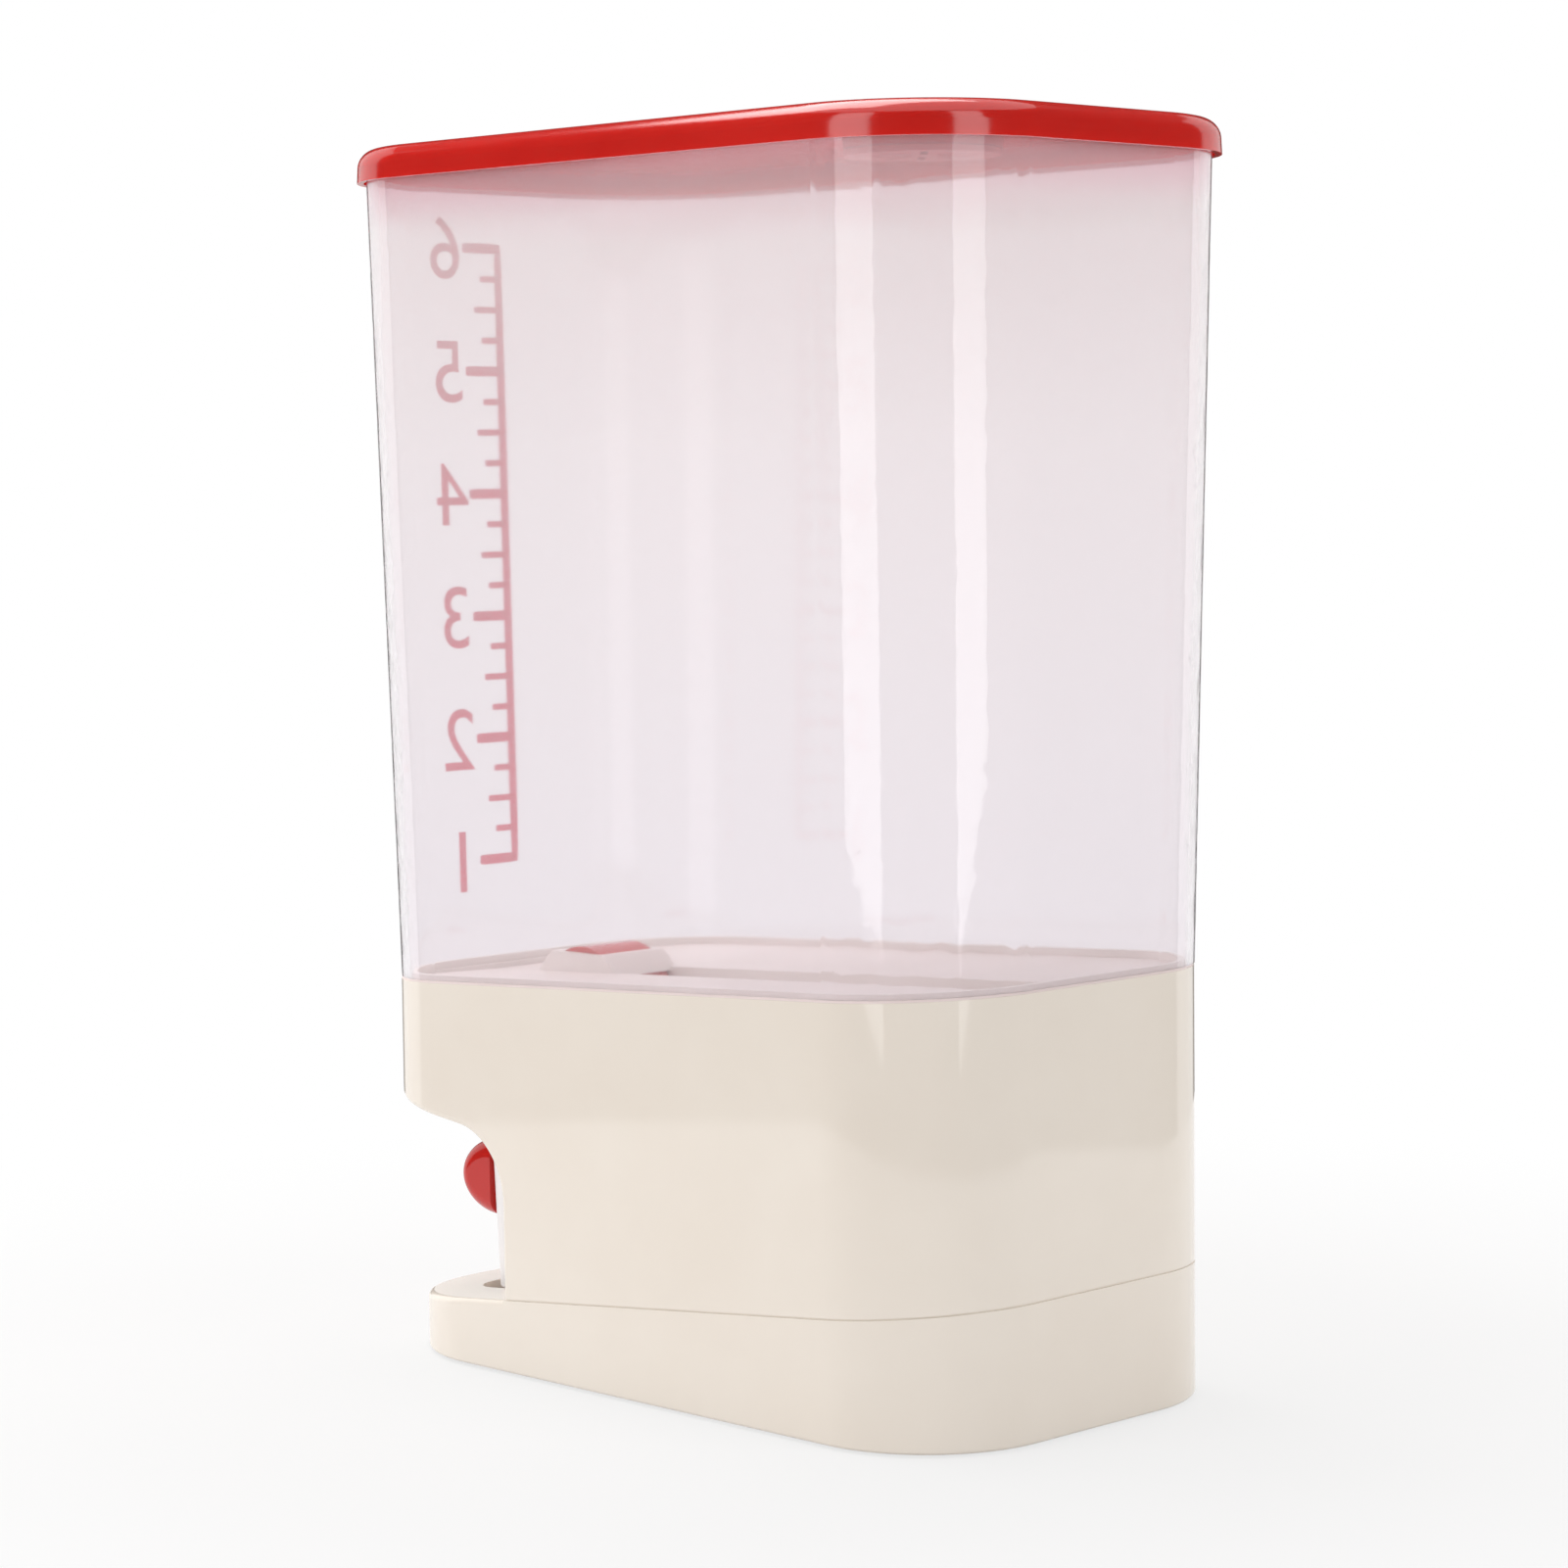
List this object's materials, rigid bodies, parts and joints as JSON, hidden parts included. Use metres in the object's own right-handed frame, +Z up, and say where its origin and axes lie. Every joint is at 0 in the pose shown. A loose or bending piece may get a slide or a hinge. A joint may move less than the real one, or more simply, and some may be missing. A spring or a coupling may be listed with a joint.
{
  "type": "rice dispenser",
  "caption": "Tall clear rice hopper with a lift-off lid on a notched base, with a push button that turns a gate over a pull-out drawer.",
  "frame": {"origin": "on the floor under the middle of the base", "axes": "+Z up, -Y towards the front with the button and drawer, +X to the right of someone facing the front"},
  "size_m": [0.1644, 0.2848, 0.398],
  "materials": {
    "cream": "glossy moulded plastic",
    "red": "glossy moulded plastic",
    "clear": "clear polished plastic",
    "white": "white moulded plastic",
    "inner": "plain moulded plastic",
    "seal": "soft translucent seal",
    "bush": "self-lubricating plastic",
    "pads": "soft grey rubber",
    "steel": "zinc-plated steel"
  },
  "bodies": {
    "base": {"base_housing": "cream", "base_tray": "cream", "bottom_plate": "inner", "rubber_feet": "pads", "hopper": "clear", "hopper_seal": "seal", "hopper_floor": "white", "gate_housing": "inner", "axle_bush_left": "bush", "axle_bush_right": "bush", "drop_chute": "inner", "button_bezel": "inner", "bezel_nut": "inner", "housing_screws": "steel", "plate_screws": "steel", "gate_screws": "steel"},
    "lid": {"lid": "red", "lid_seal": "seal", "desiccant_cup": "red"},
    "cap": {"desiccant_cap": "red"},
    "button": {"push_button": "red", "push_carrier": "inner", "carrier_screw": "steel", "return_spring": "steel"},
    "gate": {"rotary_gate": "red", "gate_axle": "steel", "pinion": "inner", "axle_clips": "steel"},
    "drawer": {"rice_drawer": "white", "drawer_handle": "red", "handle_screws": "steel"}
  },
  "joints": [
    {"name": "lid_lift", "type": "slide", "parent": "base", "child": "lid", "axis": [0, 0, 1], "range_m": [0, 0.12]},
    {"name": "cap_twist", "type": "hinge", "parent": "lid", "child": "cap", "pos_m": [0, 0.065, 0.3886], "axis": [0, 0, 1], "range_deg": [0, 40]},
    {"name": "button_press", "type": "slide", "parent": "base", "child": "button", "axis": [0, 1, 0], "range_m": [0, 0.01178], "stiffness_N_per_m": 300, "springref_m": -0.01, "deforming": ["return_spring"]},
    {"name": "gate_turn", "type": "hinge", "parent": "base", "child": "gate", "pos_m": [0, -0.084, 0.112], "axis": [1, 0, 0], "range_deg": [0, 90]},
    {"name": "drawer_pull", "type": "slide", "parent": "base", "child": "drawer", "axis": [0, -1, 0], "range_m": [0, 0.15]}
  ],
  "couplings": [
    {"joint": "gate_turn", "follows": "button_press", "rad_per_m": 133.33}
  ]
}
